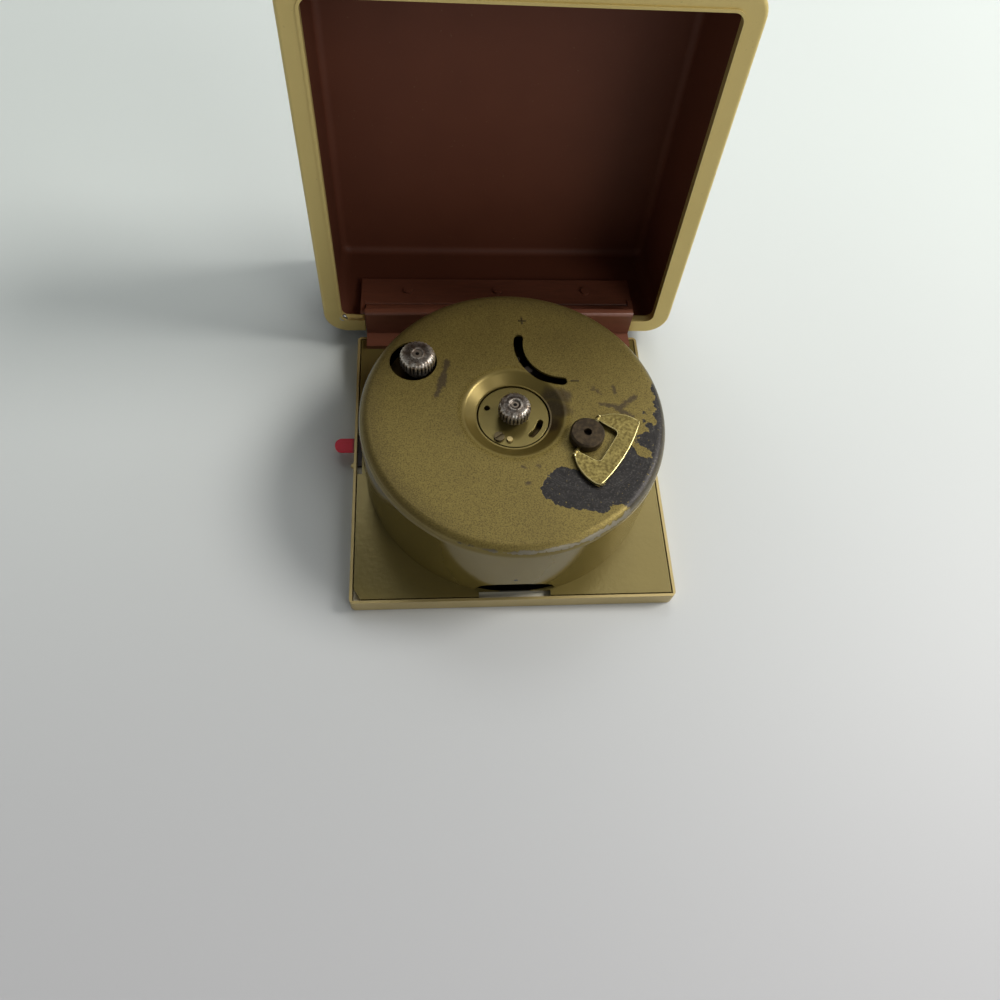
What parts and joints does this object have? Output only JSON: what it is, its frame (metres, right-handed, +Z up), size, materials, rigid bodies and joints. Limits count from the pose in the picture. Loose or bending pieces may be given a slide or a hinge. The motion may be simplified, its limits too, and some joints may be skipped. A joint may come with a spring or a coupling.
{
  "type": "folding alarm clock",
  "caption": "Folding wind-up alarm clock lying dial down: square gilt bezel, round movement can with knobs and winding key, and a brown case with a pale gilt rim standing open on its hinge.",
  "frame": {"origin": "on the hand axis, in the plane of the crystal's face, which lies on the table", "axes": "+Z up through the movement can, +Y towards the hinge and the case, +X to the right seen from the picture"},
  "size_m": [0.076, 0.094, 0.0778],
  "materials": {
    "gilt_paint": "olive gold speckled paint",
    "case_brown": "grained brown leathercloth outside, smooth red-brown inside",
    "rim_gilt": "pale gold lacquer",
    "hinge_brown": "smooth brown paint",
    "steel": "worn steel",
    "brass": "plain brass",
    "dark_bronze": "darkened brass",
    "red_tab": "glossy red",
    "crystal": "clear",
    "dial_cream": "matt cream",
    "hand_black": "black"
  },
  "bodies": {
    "clock": {"bezel": "gilt_paint", "crystal": "crystal", "dial_spacer": "steel", "dial": "dial_cream", "back_plate": "gilt_paint", "movement_can": "gilt_paint", "bush_disc": "brass", "bush_screw": "steel", "bush_stud": "steel", "hinge_leaf": "hinge_brown", "leaf_rivets": "steel", "front_movement_plate": "brass", "rear_movement_plate": "brass", "movement_feet": "steel", "pillars": "steel", "pillar_nuts": "steel", "spring_click": "steel", "click_screw": "steel", "hairspring_stud": "steel"},
    "case": {"case_shell": "case_brown", "case_rim": "rim_gilt", "hinge_bracket": "hinge_brown", "hinge_pin": "steel", "bracket_screws": "steel"},
    "minute": {"time_set_knob": "steel", "centre_arbor": "steel", "cannon_pinion": "brass", "minute_hand": "hand_black"},
    "minute_wheel": {"minute_wheel": "brass"},
    "hour": {"hour_wheel": "brass", "hour_hand": "hand_black"},
    "alarm_setting": {"alarm_set_knob": "steel", "alarm_arbor": "steel"},
    "alarm": {"alarm_wheel": "brass", "alarm_hand": "hand_black"},
    "alarm_stop": {"alarm_stop_slide": "red_tab"},
    "hammer": {"alarm_hammer": "steel"},
    "key": {"winding_key_hub": "dark_bronze", "barrel_arbor": "steel", "ratchet_wheel": "steel"},
    "wing": {"key_wing": "brass"},
    "barrel": {"barrel_drum": "brass", "barrel_cover": "brass", "mainspring": "steel"},
    "centre": {"centre_wheel": "brass"},
    "third": {"third_wheel": "brass"},
    "escape": {"escape_wheel": "brass"},
    "pallet": {"pallet_lever": "steel"},
    "balance": {"balance_wheel": "brass", "balance_staff": "steel", "hairspring": "steel"},
    "regulator": {"regulator_index": "steel"}
  },
  "joints": [
    {"name": "case_hinge", "type": "hinge", "parent": "clock", "child": "case", "pos_m": [0, 0.0367, 0.00655], "axis": [-1, 0, 0], "range_deg": [-94.4, 0]},
    {"name": "hand_setting", "type": "hinge", "parent": "clock", "child": "minute", "pos_m": [0, 0, 0.012], "axis": [0, 0, 1], "continuous": true},
    {"name": "minute_wheel_turn", "type": "hinge", "parent": "clock", "child": "minute_wheel", "pos_m": [-0.00146, -0.00828, 0.012], "axis": [0, 0, 1], "continuous": true},
    {"name": "hour_turn", "type": "hinge", "parent": "clock", "child": "hour", "pos_m": [0, 0, 0.012], "axis": [0, 0, 1], "continuous": true},
    {"name": "alarm_setting", "type": "hinge", "parent": "clock", "child": "alarm_setting", "pos_m": [-0.0177, 0.0116, 0.012], "axis": [0, 0, 1], "continuous": true},
    {"name": "alarm_turn", "type": "hinge", "parent": "clock", "child": "alarm", "pos_m": [0, 0, 0.012], "axis": [0, 0, 1], "continuous": true},
    {"name": "alarm_stop_slide", "type": "slide", "parent": "clock", "child": "alarm_stop", "axis": [0, -1, 0], "range_m": [0, 0.0055]},
    {"name": "hammer_swing", "type": "hinge", "parent": "clock", "child": "hammer", "pos_m": [-0.01339, -0.01206, 0.012], "axis": [0, 0, 1], "range_deg": [-15, 0]},
    {"name": "winding", "type": "hinge", "parent": "clock", "child": "key", "pos_m": [0.0129, -0.00575, 0.012], "axis": [0, 0, 1], "continuous": true},
    {"name": "wing_fold", "type": "hinge", "parent": "key", "child": "wing", "pos_m": [0.0129, -0.00575, 0.02315], "axis": [-0.5519, -0.8339, 0], "range_deg": [0, 95]},
    {"name": "centre_turn", "type": "hinge", "parent": "clock", "child": "centre", "pos_m": [0, 0, 0.012], "axis": [0, 0, 1], "continuous": true},
    {"name": "barrel_turn", "type": "hinge", "parent": "clock", "child": "barrel", "pos_m": [0.0129, -0.00575, 0.012], "axis": [0, 0, 1], "continuous": true},
    {"name": "third_turn", "type": "hinge", "parent": "clock", "child": "third", "pos_m": [-0.00731, 0.00624, 0.012], "axis": [0, 0, 1], "continuous": true},
    {"name": "escape_turn", "type": "hinge", "parent": "clock", "child": "escape", "pos_m": [-0.0046, 0.0142, 0.012], "axis": [0, 0, 1], "continuous": true},
    {"name": "balance_swing", "type": "hinge", "parent": "clock", "child": "balance", "pos_m": [0.0101, 0.0153, 0.012], "axis": [0, 0, 1], "range_deg": [-150, 150], "stiffness_Nm_per_rad": 0.000005},
    {"name": "pallet_rock", "type": "hinge", "parent": "clock", "child": "pallet", "pos_m": [0.00178, 0.01468, 0.012], "axis": [0, 0, 1], "range_deg": [-3, 3]},
    {"name": "regulator_swing", "type": "hinge", "parent": "clock", "child": "regulator", "pos_m": [0.0101, 0.0153, 0.0194], "axis": [0, 0, 1], "range_deg": [-38, 38]}
  ],
  "couplings": [
    {"joint": "minute_wheel_turn", "follows": "hand_setting", "ratio": -0.33333},
    {"joint": "hour_turn", "follows": "hand_setting", "ratio": 0.083333},
    {"joint": "alarm_turn", "follows": "alarm_setting", "ratio": -0.4},
    {"joint": "barrel_turn", "follows": "centre_turn", "ratio": -0.16667},
    {"joint": "third_turn", "follows": "centre_turn", "ratio": -5},
    {"joint": "escape_turn", "follows": "centre_turn", "ratio": 25},
    {"joint": "pallet_rock", "follows": "balance_swing", "ratio": -0.02}
  ]
}
